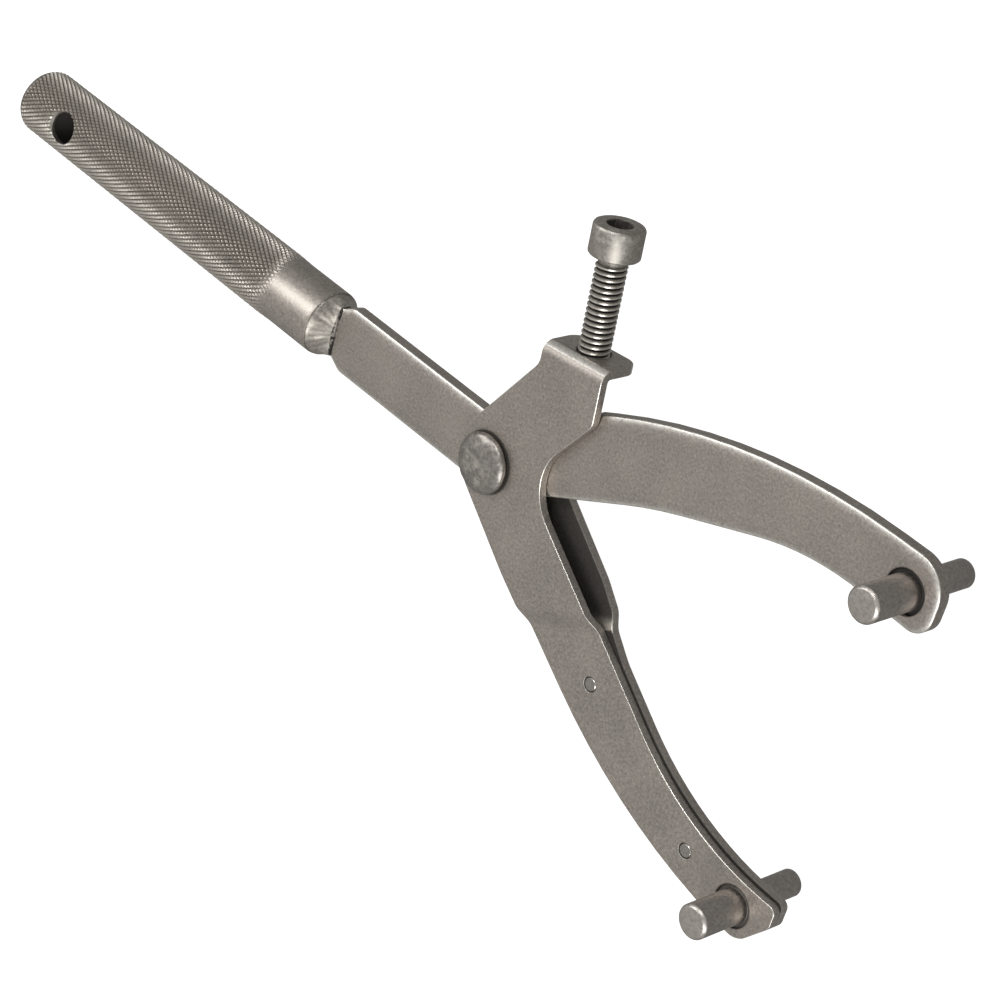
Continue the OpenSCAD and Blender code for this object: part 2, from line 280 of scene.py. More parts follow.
# The front face is taken off and its outline is let down. The outline is then drawn
# inwards in steps, which rise steeply at first and end level, and the face is closed.
merge_flat(bar, lambda face: face.normal.z < -0.99, SAME_PLACE)
with chosen(bar, "FACE", lambda face: face.normal.z > 0.99):
    bpy.ops.mesh.delete(type="FACE")
ring = open_loop(bar, bar_high.z, (fixed_peg_axis, pivot), largest_hole)
outline = [bar.data.vertices[n].co.copy() for n in ring]
for n in ring:
    bar.data.vertices[n].co.z -= roll_drop
ring_points = [bar.data.vertices[n].co.copy() for n in ring]
for step in range(1, roll_steps + 1):
    share = step / roll_steps
    targets = moved_inward(outline, roll_width * share ** 1.3)
    for target in targets:
        target.z = bar_high.z - roll_drop * (1 - share) ** 2
    pairs = {frozenset((ring[n - 1], ring[n])) for n in range(len(ring))}
    with chosen(bar, "EDGE", lambda edge: frozenset(edge.vertices) in pairs):
        bpy.ops.mesh.extrude_edges_move()
    fresh = [vertex for vertex in bar.data.vertices if vertex.select]
    finder = KDTree(len(fresh))
    for vertex in fresh:
        finder.insert(vertex.co, vertex.index)
    finder.balance()
    ring = [finder.find(point)[1] for point in ring_points]
    for n, target in zip(ring, targets):
        bar.data.vertices[n].co = target
    ring_points = targets
with editing(bar, "EDGE", everything=False):
    bpy.ops.mesh.select_non_manifold(extend=False)
    bpy.ops.mesh.fill(use_beauty=True)
    bpy.ops.mesh.select_all(action="SELECT")
    bpy.ops.mesh.remove_doubles(threshold=0.01 * MM)
    bpy.ops.mesh.dissolve_degenerate(threshold=0.02 * MM)
    bpy.ops.mesh.normals_make_consistent(inside=False)

# The sharp edges are rounded, except beside the tang, where the weld covers them.
with editing(bar, "EDGE", everything=False):
    bpy.ops.mesh.edges_select_sharp(sharpness=SHARP)
sharp_edges = {edge.index for edge in bar.data.edges if edge.select}
shoulder_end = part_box("handle_weld")[1].x + 3 * MM


def past_shoulder(edge):
    return all(bar.data.vertices[n].co.x >= shoulder_end for n in edge.vertices)


with chosen(bar, "EDGE", lambda edge: edge.index in sharp_edges and past_shoulder(edge)):
    bpy.ops.mesh.bevel(offset=0.22 * MM, segments=3, affect="EDGES", clamp_overlap=False)
for vertex in bar.data.vertices:
    vertex.co.z = min(vertex.co.z, bar_high.z)


# Every piece is bare or plated steel. One node group gives the tumbled grain: a fine
# speckle over broad patches, which also breaks up the gloss, the bright wear and the
# painted highlights.
def feed(tree, socket, value):
    """Links a node's output to a socket, or sets it to a number, a vector or a colour tuple."""
    if isinstance(value, bpy.types.NodeSocket):
        tree.links.new(value, socket)
    elif isinstance(value, tuple):
        socket.default_value = (*value, 1)
    elif value is not None:
        socket.default_value = value


def math_node(tree, operation, first, second=None, clamp=False):
    node = tree.nodes.new("ShaderNodeMath")
    node.operation = operation
    node.use_clamp = clamp
    feed(tree, node.inputs[0], first)
    feed(tree, node.inputs[1], second)
    return node.outputs[0]


def vector_node(tree, operation, first, second=None):
    node = tree.nodes.new("ShaderNodeVectorMath")
    node.operation = operation
    feed(tree, node.inputs[0], first)
    feed(tree, node.inputs[1], second)
    return node.outputs


def noise(tree, vector, scale, detail, rough=0.6):
    texture = tree.nodes.new("ShaderNodeTexNoise")
    settings = {"Vector": vector, "Scale": scale, "Detail": detail, "Roughness": rough}
    for name, value in settings.items():
        feed(tree, texture.inputs[name], value)
    return texture.outputs["Fac"]


def ramp(tree, value, low, high, out_low=0.0, out_high=1.0):
    """Goes smoothly from out_low to out_high as the value goes from low to high."""
    node = tree.nodes.new("ShaderNodeMapRange")
    node.interpolation_type = "SMOOTHSTEP"
    settings = {
        "Value": value, "From Min": low, "From Max": high, "To Min": out_low, "To Max": out_high,
    }
    for name, setting in settings.items():
        feed(tree, node.inputs[name], setting)
    return node.outputs["Result"]


def mix_colour(tree, mask, first, second):
    node = tree.nodes.new("ShaderNodeMix")
    node.data_type = "RGBA"
    feed(tree, node.inputs["Factor"], mask)
    for name, colour in (("A", first), ("B", second)):
        feed(tree, next(s for s in node.inputs if s.name == name and s.type == "RGBA"), colour)
    return next(s for s in node.outputs if s.type == "RGBA")


def place_on(tree):
    """Where a point lies on the tool."""
    return tree.nodes.new("ShaderNodeTexCoord").outputs["Object"]


def part_of(tree, vector, letter):
    """One of a vector's three parts."""
    parts = tree.nodes.new("ShaderNodeSeparateXYZ")
    tree.links.new(vector, parts.inputs[0])
    return parts.outputs[letter]


def upward(tree):
    """How far the surface faces up: 1 on top, 0 on a side wall, -1 underneath."""
    normal = tree.nodes.new("ShaderNodeNewGeometry").outputs["Normal"]
    return part_of(tree, normal, "Z")


def build_tumbled_steel():
    """Mask is how far the surface is lightened by wear and painted highlights, Shade how far it is darkened by
    painted shade.
    """
    group = bpy.data.node_groups.new("tumbled_steel", "ShaderNodeTree")
    for name, kind, value in (
        ("Colour", "NodeSocketColor", (0.5, 0.48, 0.46, 1)),
        ("Bright", "NodeSocketColor", (0.8, 0.78, 0.74, 1)),
        ("Dark", "NodeSocketColor", (0.1, 0.095, 0.09, 1)),
        ("Grain Scale", "NodeSocketFloat", 2200.0),
        ("Grain", "NodeSocketFloat", 0.2),
        ("Roughness", "NodeSocketFloat", 0.45),
        ("Mask", "NodeSocketFloat", 0.0),
        ("Shade", "NodeSocketFloat", 0.0),
    ):
        entry = group.interface.new_socket(name, in_out="INPUT", socket_type=kind)
        entry.default_value = value
    for name, kind in (
        ("Colour", "NodeSocketColor"),
        ("Roughness", "NodeSocketFloat"),
        ("Height", "NodeSocketFloat"),
    ):
        group.interface.new_socket(name, in_out="OUTPUT", socket_type=kind)
    given = group.nodes.new("NodeGroupInput").outputs
    result = group.nodes.new("NodeGroupOutput").inputs

    def times(first, second):
        return math_node(group, "MULTIPLY", first, second)

    # The grain lightens and darkens the colour a little, point by point.
    speckle = noise(group, place_on(group), given["Grain Scale"], 2)
    swing = times(times(math_node(group, "SUBTRACT", speckle, 0.5), given["Grain"]), 4.0)
    broad = ramp(group, noise(group, place_on(group), 70, 4), 0.3, 0.7, -0.06, 0.06)
    light = math_node(group, "ADD", math_node(group, "ADD", swing, broad), 1.0)
    tone = group.nodes.new("ShaderNodeVectorMath")
    tone.operation = "SCALE"
    group.links.new(given["Colour"], tone.inputs[0])
    group.links.new(light, tone.inputs["Scale"])
    # Wear and painted highlights miss the deepest specks, and painted shade lies over both.
    broken = times(given["Mask"], ramp(group, speckle, 0.25, 0.6, 0.55, 1.0))
    wear_and_highlight = mix_colour(group, broken, tone.outputs[0], given["Bright"])
    final = mix_colour(group, given["Shade"], wear_and_highlight, given["Dark"])
    # Worn and highlighted metal is glossier, painted shade is duller, and the grain breaks both up.
    gloss = math_node(group, "SUBTRACT", given["Roughness"], times(broken, 0.12))
    gloss = math_node(group, "ADD", gloss, times(swing, 0.25), clamp=True)
    gloss = math_node(group, "ADD", gloss, times(given["Shade"], 0.35), clamp=True)
    group.links.new(final, result["Colour"])
    group.links.new(gloss, result["Roughness"])
    group.links.new(speckle, result["Height"])
    return group


tumbled_steel = build_tumbled_steel()
PLATE = (0.48, 0.442, 0.402)
BRIGHT = (0.88, 0.855, 0.80)
# DARK is the colour of the painted shade.
DARK = (0.05, 0.047, 0.044)
UPRIGHT = (0, 0, 1)


def steel(
    name, colour, bright, rough, grain, dark=DARK, grain_scale=1500.0, bump=0.02 * MM,
    mask=None, shade=None,
):
    """A steel finish. mask and shade are functions that draw their masks in the material."""
    material = bpy.data.materials.new(name)
    material.use_nodes = True
    tree = material.node_tree
    surface = tree.nodes["Principled BSDF"]
    surface.inputs["Metallic"].default_value = 1
    skin = tree.nodes.new("ShaderNodeGroup")
    skin.node_tree = tumbled_steel
    settings = {
        "Colour": colour, "Bright": bright, "Dark": dark, "Roughness": rough, "Grain": grain,
        "Grain Scale": grain_scale, "Mask": mask and mask(tree), "Shade": shade and shade(tree),
    }
    for socket, value in settings.items():
        feed(tree, skin.inputs[socket], value)
    relief = tree.nodes.new("ShaderNodeBump")
    relief.inputs["Strength"].default_value = 1
    relief.inputs["Distance"].default_value = bump
    tree.links.new(skin.outputs["Height"], relief.inputs["Height"])
    tree.links.new(skin.outputs["Colour"], surface.inputs["Base Color"])
    tree.links.new(skin.outputs["Roughness"], surface.inputs["Roughness"])
    tree.links.new(relief.outputs["Normal"], surface.inputs["Normal"])
    return material


def edge_mask(low=0.35, high=0.74, flat=0.82):
    """Bright wear where the surface has left a flat face but isn't yet a side wall."""
    def draw(tree):
        level = math_node(tree, "ABSOLUTE", upward(tree))
        turned_away = ramp(tree, level, flat, high)
        not_wall = ramp(tree, level, 0.15, low)
        return math_node(tree, "MULTIPLY", turned_away, not_wall)
    return draw


def from_axis(tree, point, axis):
    """The distance from the line through the point along the axis."""
    offset = vector_node(tree, "SUBTRACT", place_on(tree), point)[0]
    across = vector_node(tree, "CROSS_PRODUCT", offset, Vector(axis).normalized())[0]
    return vector_node(tree, "LENGTH", across)["Value"]


def painted_shade_rings(*rings):
    """Painted shade close round a hole or a head: each ring is (point, axis, radius, width, depth)."""
    def draw(tree):
        total = None
        for point, axis, radius, width, depth in rings:
            away = from_axis(tree, point, axis)
            painted_shade = ramp(tree, away, radius, radius + width, depth, 0.0)
            total = painted_shade if total is None else math_node(tree, "MAXIMUM", total, painted_shade)
        return total
    return draw


peg_ring = (5.4 * MM, 0.5 * MM, 0.85)
# The bar gets a ring of painted shade round the fixed peg.
bar_steel = steel(
    "bar_steel", PLATE, BRIGHT, rough=0.5, grain=0.26,
    mask=edge_mask(low=0.3, high=0.93, flat=0.999),
    shade=painted_shade_rings((fixed_peg_axis, UPRIGHT, *peg_ring)),
)
finish(bar, "handle", "bare_steel", bar_steel, "main_bar", large_flats=True)


# ------------------------------------------------------------------------------- plates
# The swinging arm's two plates are pressed from 2.5 mm sheet. Each steps in past the
# hub, where they lie together, and the front one is bent over into the screw's tab.
screw_axis = Vector(mounts["screw_socket"]["axis"]).normalized()
screw_place = Vector(mounts["screw_socket"]["pos_m"])
# Rings of painted shade round the pivot, the swinging peg and the two small rivets.
round_parts = [
    (pivot, UPRIGHT, 7.9 * MM, 0.7 * MM, 0.8),
    (Vector(mounts["swing_peg_front"]["pos_m"]), UPRIGHT, *peg_ring),
]
for node in ("neck_rivet", "tip_rivet"):
    low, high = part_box(node)
    round_parts.append(((low + high) / 2, UPRIGHT, (high.x - low.x) / 2, 0.3 * MM, 0.7))
neck_low, neck_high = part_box("neck_rivet")
seam_level = (neck_low.z + neck_high.z) / 2
fork_end = neck_low.x - 18 * MM
tab_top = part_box("front_plate")[1].y


def close_slits(piece):
    """Removes slits of no width: faces that lie wholly on edges of more than two faces."""
    crowded = {n for key, count in faces_on_edges(piece).items() if count > 2 for n in key}
    with chosen(piece, "FACE", lambda face: crowded.issuperset(face.vertices)):
        bpy.ops.mesh.delete(type="FACE")


def round_edges(piece, width):
    solo(piece)
    bevel = piece.modifiers.new("edges", "BEVEL")
    bevel.limit_method = "ANGLE"
    bevel.angle_limit = SHARP
    bevel.width = width
    bevel.segments = 3
    bevel.use_clamp_overlap = False
    bevel.miter_outer = "MITER_ARC"
    bpy.ops.object.modifier_apply(modifier=bevel.name)


def plate_shade(tree):
    """Painted shade round the heads and holes, and in the seam between the two plates."""
    height = part_of(tree, place_on(tree), "Z")
    from_seam = math_node(tree, "ABSOLUTE", math_node(tree, "SUBTRACT", height, seam_level))
    seam = ramp(tree, from_seam, 0.08 * MM, 0.3 * MM, 0.9, 0.0)
    outer_part = ramp(tree, part_of(tree, place_on(tree), "X"), fork_end, fork_end + 6 * MM)
    outer_seam = math_node(tree, "MULTIPLY", seam, outer_part)
    return math_node(tree, "MAXIMUM", painted_shade_rings(*round_parts)(tree), outer_seam)


def front_plate_shade(tree):
    """As on both plates, and painted shade round the screw where it leaves the tab."""
    ring = painted_shade_rings((screw_place, screw_axis, 4.1 * MM, 0.7 * MM, 0.9))(tree)
    across = part_of(tree, place_on(tree), "Y")
    on_tab = ramp(tree, across, tab_top - 9 * MM, tab_top - 7 * MM)
    return math_node(tree, "MAXIMUM", plate_shade(tree), math_node(tree, "MULTIPLY", ring, on_tab))


def back_plate_shade(tree):
    """As on both plates; the back plate's face also gets painted shadow inside the fork."""
    height = part_of(tree, place_on(tree), "Z")
    in_fork = ramp(tree, height, seam_level - 1.9 * MM, seam_level - 0.4 * MM, 0.85, 0.0)
    facing_up = ramp(tree, upward(tree), 0.3, 0.8)
    dark_face = math_node(tree, "MULTIPLY", in_fork, facing_up)
    return math_node(tree, "MAXIMUM", plate_shade(tree), dark_face)


# Each plate gets painted shade round its heads and holes and in its seam, and the back plate also inside the fork.
for name, node, painted_shade in (
    ("arm_front_plate", "front_plate", front_plate_shade),
    ("arm_back_plate", "back_plate", back_plate_shade),
):
    plate = from_node(name, node)
    close_slits(plate)
    merge_flat(plate, lambda face: True, 0.03 * MM)
    round_edges(plate, 0.32 * MM)
    plate_steel = steel(
        name + "_steel", PLATE, BRIGHT, rough=0.5, grain=0.26, mask=edge_mask(), shade=painted_shade,
    )
    finish(plate, "swing_arm", "bare_steel", plate_steel, node, large_flats=True)


# -------------------------------------------------------------------------------- tube
# The handle is a steel tube. Rolls have pressed a diamond knurl into all but its last
# 16 mm, and a countersunk hole is drilled across it near its open end.
def turned(name, centre, profile, sides=64):
    """A piece turned about Z: the profile is (radius, height) from one end to the other."""
    bpy.ops.object.select_all(action="DESELECT")
    radius, height = profile[0]
    bpy.ops.mesh.primitive_circle_add(
        vertices=sides, radius=radius, fill_type="NGON", location=(0, 0, height)
    )
    piece = bpy.context.object
    piece.name = name
    bpy.ops.object.transform_apply(location=True, rotation=True, scale=True)
    with editing(piece, "FACE"):
        for next_radius, next_height in profile[1:]:
            rise = (0, 0, next_height - height)
            bpy.ops.mesh.extrude_region_move(TRANSFORM_OT_translate={"value": rise})
            scale = next_radius / radius
            bpy.ops.transform.resize(value=(scale, scale, 1), center_override=(0, 0, 0))
            radius, height = next_radius, next_height
        bpy.ops.mesh.select_all(action="SELECT")
        bpy.ops.mesh.normals_make_consistent(inside=False)
    piece.data.transform(Matrix.Translation(centre))
    return piece


def combine(piece, other, operation):
    """Cuts the other out of the piece, joins them, or keeps what they share."""
    solo(piece)
    boolean = piece.modifiers.new("combine", "BOOLEAN")
    boolean.operation = operation
    boolean.solver = "EXACT"
    boolean.object = other
    bpy.ops.object.modifier_apply(modifier=boolean.name)
    bpy.data.objects.remove(other)


tube_low, tube_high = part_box("handle_tube")
tube_axis = (tube_low + tube_high) / 2
# Radii, from the knurl's crests down to the bore.
crest = (tube_high.z - tube_low.z) / 2
smooth = crest - 0.2 * MM
rim_start = smooth - 0.12 * MM
rim_end = smooth - 0.35 * MM
groove = crest - 0.5 * MM
open_end = groove - 0.3 * MM
bore = smooth - 1.8 * MM
# The knurl starts and ends in a short slope.
lead = 0.5 * MM
knurl_end = tube_high.x - 16 * MM
around = 92
rows = 100
first_row = tube_low.x + lead
half_pitch = (knurl_end - first_row) / rows
fade_rows = 5

bpy.ops.object.select_all(action="DESELECT")
bpy.ops.mesh.primitive_circle_add(
    vertices=around, radius=open_end, rotation=(0, math.pi / 2, 0),
    location=(tube_low.x, tube_axis.y, tube_axis.z),
)
tube = bpy.context.object
tube.name = "knurled_tube"
bpy.ops.object.transform_apply(location=True, rotation=True, scale=True)


def scale_round(scale):
    bpy.ops.transform.resize(
        value=(1, scale, scale), center_override=(0, tube_axis.y, tube_axis.z)
    )


def next_ring(x_step, scale=1.0):
    bpy.ops.mesh.extrude_edges_move(TRANSFORM_OT_translate={"value": (x_step, 0, 0)})
    if scale != 1.0:
        scale_round(scale)


with editing(tube, "EDGE"):
    next_ring(lead, groove / open_end)
    for _ in range(rows):
        next_ring(half_pitch)
    next_ring(lead, smooth / groove)
    next_ring(tube_high.x - knurl_end - 1.5 * MM)
    next_ring(0.7 * MM, rim_start / smooth)
    next_ring(0.3 * MM, rim_end / rim_start)
    next_ring(0, bore / rim_end)
    next_ring(tube_low.x - tube_high.x + lead)
with editing(tube, "VERT", everything=False):
    bpy.ops.mesh.select_non_manifold(extend=False)
    bpy.ops.mesh.bridge_edge_loops()


def off_axis(vertex):
    return (vertex.co - tube_axis) * Vector((0, 1, 1))


def raised(vertex):
    """Every second point of each row of the knurl is pushed out to a crest."""
    out = off_axis(vertex)
    row = round((vertex.co.x - first_row) / half_pitch)
    column = round(math.atan2(out.y, out.z) / (2 * math.pi) * around)
    return out.length > groove - 0.05 * MM and 0 < row < rows and (row + column) % 2 == 0


with chosen(tube, "VERT", raised):
    scale_round((crest + 0.16 * MM) / groove)
    bpy.ops.mesh.select_all(action="SELECT")
    bpy.ops.mesh.quads_convert_to_tris(quad_method="SHORTEST_DIAGONAL")
with chosen(tube, "VERT", lambda vertex: off_axis(vertex).length > crest):
    bpy.ops.mesh.bevel(offset=0.26 * MM, affect="VERTICES", segments=1)
    bpy.ops.mesh.select_all(action="SELECT")
    bpy.ops.mesh.normals_make_consistent(inside=False)
# The rolls lifted off gradually, so the last rows of the knurl are shallower.
for vertex in tube.data.vertices:
    out = off_axis(vertex)
    fade = 1 - (knurl_end - vertex.co.x) / (fade_rows * half_pitch)
    if out.length > groove - 0.05 * MM and 0 < fade <= 1.05:
        faded = out.length + (smooth - out.length) * min(1.0, fade) ** 0.8
        vertex.co = vertex.co + out * (faded / out.length - 1)

hole = mounts["hanging_hole"]
hole_radius = hole["dims"]["r_mm"] * MM
hole_place = Vector(hole["pos_m"])
sink_radius = hole_radius + 2.4 * MM
sink_start = crest - 1.0 * MM
sink_top = crest + 1.5 * MM
drill = turned("drill", Vector((0, 0, 0)), [
    (sink_radius, -sink_top), (hole_radius, -sink_start),
    (hole_radius, sink_start), (sink_radius, sink_top),
])
drill.data.transform(Vector(hole["axis"]).to_track_quat("Z", "Y").to_matrix().to_4x4())
drill.data.transform(Matrix.Translation(hole_place))
combine(tube, drill, "DIFFERENCE")


def knurl_highlight_and_wear(tree):
    """The crests of the knurl get a painted highlight, and the metal round the hole is worn bright."""
    radius = from_axis(tree, tube_axis, (1, 0, 0))
    crests = ramp(tree, radius, crest - 0.3 * MM, crest - 0.02 * MM, 0.0, 0.6)
    rubbed = hole_place + Vector((-1.5 * MM, 0, crest))
    away = vector_node(tree, "DISTANCE", place_on(tree), rubbed)["Value"]
    near_hole = ramp(tree, away, 5.0 * MM, 7.5 * MM, 0.6, 0.0)
    return math_node(tree, "ADD", crests, near_hole, clamp=True)


def knurl_shade(tree):
    """Painted shade lies in the grooves of the knurl and inside the tube."""
    radius = from_axis(tree, tube_axis, (1, 0, 0))
    grooves = ramp(tree, radius, groove, smooth - 0.05 * MM, 0.55, 0.0)
    inside = ramp(tree, radius, bore + 0.2 * MM, bore + 0.7 * MM, 0.96, 0.0)
    return math_node(tree, "MAXIMUM", grooves, inside)


# The tube is painted light on the knurl's crests and painted dark in its grooves and its bore.
tube_steel = steel(
    "tube_steel", (0.48, 0.442, 0.398), (0.72, 0.68, 0.615), rough=0.44, grain=0.3,
    mask=knurl_highlight_and_wear, shade=knurl_shade,
)
finish(tube, "handle", "bare_steel", tube_steel, "handle_tube", angle=24)


# -------------------------------------------------------------------------------- weld
# The weld runs right round the tang and fills the corner between tube and bar. It has
# been ground to a blunt cone, and the grinder's marks run down its slope.
weld_low, weld_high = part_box("handle_weld")
weld_radius = smooth - 0.3 * MM
weld_start = weld_low.x - 0.5 * MM  # just inside the tube
weld_rings = 14
weld_step = (weld_high.x + 0.4 * MM - weld_start) / weld_rings
tang_half_width = bore - 0.3 * MM
tang_half_height = (bar_high.z - bar_low.z) / 2 + 0.25 * MM
squareness = 5
bpy.ops.object.select_all(action="DESELECT")
bpy.ops.mesh.primitive_circle_add(
    vertices=96, radius=weld_radius, rotation=(0, math.pi / 2, 0), fill_type="NGON",
    location=(weld_start, tube_axis.y, tube_axis.z),
)
weld = bpy.context.object
weld.name = "ground_weld"
bpy.ops.object.transform_apply(location=True, rotation=True, scale=True)
with editing(weld, "VERT"):
    for _ in range(weld_rings):
        bpy.ops.mesh.extrude_region_move(TRANSFORM_OT_translate={"value": (weld_step, 0, 0)})
    bpy.ops.mesh.select_all(action="SELECT")
    bpy.ops.mesh.normals_make_consistent(inside=False)
# The rings go from the tube's round shape to the flat shape of the bar. The low ripples
# are what the grinder left.
for vertex in weld.data.vertices:
    share = min(1.0, max(0.0, (vertex.co.x - weld_low.x) / (weld_high.x - weld_low.x)))
    angle = math.atan2(vertex.co.z - tube_axis.z, vertex.co.y - tube_axis.y)
    across, upright = math.cos(angle), math.sin(angle)
    flatness = (
        (abs(across) / tang_half_width) ** squareness
        + (abs(upright) / tang_half_height) ** squareness
    )
    flat_radius = flatness ** (-1 / squareness)
    ripple = MM * math.sin(math.pi * min(1, share + 0.1)) * (
        0.12 * math.sin(9 * angle + 2)
        + 0.08 * math.sin(23 * angle)
        + 0.10 * math.sin(5 * angle + 5 * share)
    )
    reach = weld_radius + (flat_radius - weld_radius) * share ** 1.15 + ripple
    vertex.co.y = tube_axis.y + across * reach
    vertex.co.z = tube_axis.z + upright * reach


def weld_marks(tree):
    """Long scratches that run from the tube down to the bar."""
    drawn_out = tree.nodes.new("ShaderNodeMapping")
    drawn_out.inputs["Location"].default_value = (-weld_low.x, -tube_axis.y, -tube_axis.z)
    drawn_out.inputs["Scale"].default_value = (0.12, 1, 0.35)
    tree.links.new(place_on(tree), drawn_out.inputs["Vector"])
    return ramp(tree, noise(tree, drawn_out.outputs[0], 700, 3), 0.45, 0.65, 0.0, 0.6)


def weld_end_shade(tree):
    """Painted shade in a dark, broken line where the weld stops on the bar."""
    along = part_of(tree, place_on(tree), "X")
    at_end = ramp(tree, along, weld_high.x - 0.55 * MM, weld_high.x - 0.25 * MM, 0.0, 0.95)
    broken = ramp(tree, noise(tree, place_on(tree), 500, 2), 0.4, 0.5, 0.35, 1.0)
    return math_node(tree, "MULTIPLY", at_end, broken)


weld_steel = steel(
    "weld_steel", (0.45, 0.42, 0.378), (0.70, 0.665, 0.60), rough=0.45, grain=0.3,
    bump=0.03 * MM, mask=weld_marks, shade=weld_end_shade,
)
finish(weld, "handle", "weld_steel", weld_steel, "handle_weld", angle=40)


# -------------------------------------------------------------------------------- pegs
# Each jaw holds one turned steel peg, thick in front and thin behind. A collar in the
# middle is pressed into the jaw, and both its faces lie a little below the jaw's.
chamfer = 0.7 * MM
sunk = 0.7 * MM


def peg(name, node, body):
    low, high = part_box(node)
    front, back = mounts[node + "_front"], mounts[node + "_back"]
    thick = front["dims"]["r_mm"] * MM
    thin = back["dims"]["r_mm"] * MM
    collar = (high.x - low.x) / 2
    seat = high.z - front["dims"]["length_mm"] * MM - sunk
    collar_back = low.z + back["dims"]["length_mm"] * MM + sunk
    profile = [
        (thin - chamfer - 0.05 * MM, low.z),
        (thin - 0.08 * MM, low.z + chamfer),
        (thin, low.z + chamfer + 0.2 * MM),
        (thin, collar_back),
        (collar - 0.25 * MM, collar_back),
        (collar, collar_back + 0.25 * MM),
        (collar, seat),
        (thick + 0.12 * MM, seat),
        (thick, seat + 0.15 * MM),
        (thick, high.z - chamfer - 0.15 * MM),
        (thick - 0.08 * MM, high.z - chamfer + 0.05 * MM),
        (thick - chamfer, high.z - 0.05 * MM),
        (thick - chamfer - 0.12 * MM, high.z),
    ]
    piece = turned(name, Vector((*front["pos_m"][:2], 0)), profile, sides=72)
    finish(piece, body, "turned_steel", peg_steel, node, angle=26)


def peg_ends(tree):
    """The flat ends were faced, and their chamfers are bright."""
    return ramp(tree, math_node(tree, "ABSOLUTE", upward(tree)), 0.3, 0.7, 0.0, 0.45)


def peg_foot_shade(tree):
    """Painted shade lies on the sunk collar and in the corner round the peg's foot."""
    jaw_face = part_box("fixed_peg")[1].z - mounts["fixed_peg_front"]["dims"]["length_mm"] * MM
    height = part_of(tree, place_on(tree), "Z")
    low_down = ramp(tree, height, jaw_face - 0.5 * MM, jaw_face + 0.5 * MM, 0.9, 0.0)
    in_front = ramp(tree, height, jaw_face - 1.5 * MM, jaw_face - 1.0 * MM)
    return math_node(tree, "MULTIPLY", low_down, in_front)


peg_steel = steel(
    "peg_steel", (0.45, 0.417, 0.388), (0.78, 0.74, 0.69), rough=0.42, grain=0.26,
    grain_scale=1300, bump=0.015 * MM, mask=peg_ends, shade=peg_foot_shade,
)
peg("fixed_jaw_peg", "fixed_peg", "handle")
peg("swing_arm_peg", "swing_peg", "swing_arm")


# ------------------------------------------------------------------------------ rivets
# A heavy rivet is the pivot. Its two heads were hammered over, so they are domed and
# mottled. Two small rivets, punched flush, hold the arm's plates together.
rivet_low, rivet_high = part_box("pivot_rivet")
rivet_middle = Vector((pivot.x, pivot.y, (rivet_low.z + rivet_high.z) / 2))
head_radius = (rivet_high.x - rivet_low.x) / 2
shank_radius = 4.5 * MM
dent_depth = 0.11 * MM
hub_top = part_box("front_plate")[1].z
hub_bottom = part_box("back_plate")[0].z
brim = 0.36  # the share of a head's height below its widest part


def rivet_head(level, top):
    """A rivet head: (radius, height) from the shank's end at the plate to the head's top."""
    tall = top - level
    points = [
        (shank_radius, level),
        (head_radius - 1.5 * MM, level),
        (head_radius - 0.25 * MM, level + 0.22 * tall),
    ]
    for step in range(11):
        turn = math.radians(6 + 8 * step)
        rise = math.sin(turn) ** 0.9
        points.append((head_radius * math.cos(turn), level + tall * (brim + (1 - brim) * rise)))
    return points


rivet = turned(
    "pivot_rivet_heads", Vector((pivot.x, pivot.y, 0)),
    rivet_head(hub_bottom, rivet_low.z)[::-1] + rivet_head(hub_top, rivet_high.z), sides=96,
)
# The hammer's dents cross the heads in low waves, and die out towards the rims.
for vertex in rivet.data.vertices:
    spot = vertex.co - rivet_middle
    if abs(spot.z) > hub_top - rivet_middle.z:
        x, y = spot.x / MM, spot.y / MM
        dents = 1.5 + 0.6 * math.sin(1.9 * x - 1.3 * y)
        dents += math.sin(0.9 * x + 0.5 * y + 0.7) * math.sin(1.1 * y - 0.4 * x + 1.9)
        inside_rim = min(1.0, 2 - 1.6 * spot.xy.length / head_radius)
        vertex.co.z -= math.copysign(dent_depth * dents, spot.z) * inside_rim


def mottle(tree):
    """Bright patches where the hammer struck, most of them on the crown."""
    patches = noise(tree, place_on(tree), 300, 5, 0.65)
    radius = from_axis(tree, pivot, UPRIGHT)
    crown = ramp(tree, radius, 0.45 * head_radius, 0.85 * head_radius, 0.75, 0.1)
    return math_node(tree, "MULTIPLY", crown, ramp(tree, patches, 0.44, 0.66))


rivet_steel = steel(
    "rivet_steel", (0.37, 0.345, 0.32), (0.82, 0.78, 0.71), rough=0.4, grain=0.3,
    grain_scale=1300, bump=0.03 * MM, mask=mottle,
)
finish(rivet, "handle", "turned_steel", rivet_steel, "pivot_rivet", angle=50)

small_steel = steel(
    "small_rivet_steel", (0.42, 0.395, 0.37), (0.85, 0.82, 0.77), rough=0.36, grain=0.25,
    grain_scale=2200, bump=0.012 * MM, mask=edge_mask(low=0.4, high=0.9, flat=0.99),
)
for name, node in (("upper_flush_rivet", "neck_rivet"), ("lower_flush_rivet", "tip_rivet")):
    low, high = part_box(node)
    radius = (high.x - low.x) / 2
    end = [(radius - 0.35 * MM, 0.0), (radius - 0.1 * MM, 0.25 * MM), (radius, 0.5 * MM)]
    profile = [(r, low.z + z) for r, z in end] + [(r, high.z - z) for r, z in reversed(end)]
    small = turned(name, Vector((*((low + high) / 2).xy, 0)), profile, sides=40)
    finish(small, "swing_arm", "turned_steel", small_steel, node, angle=26)


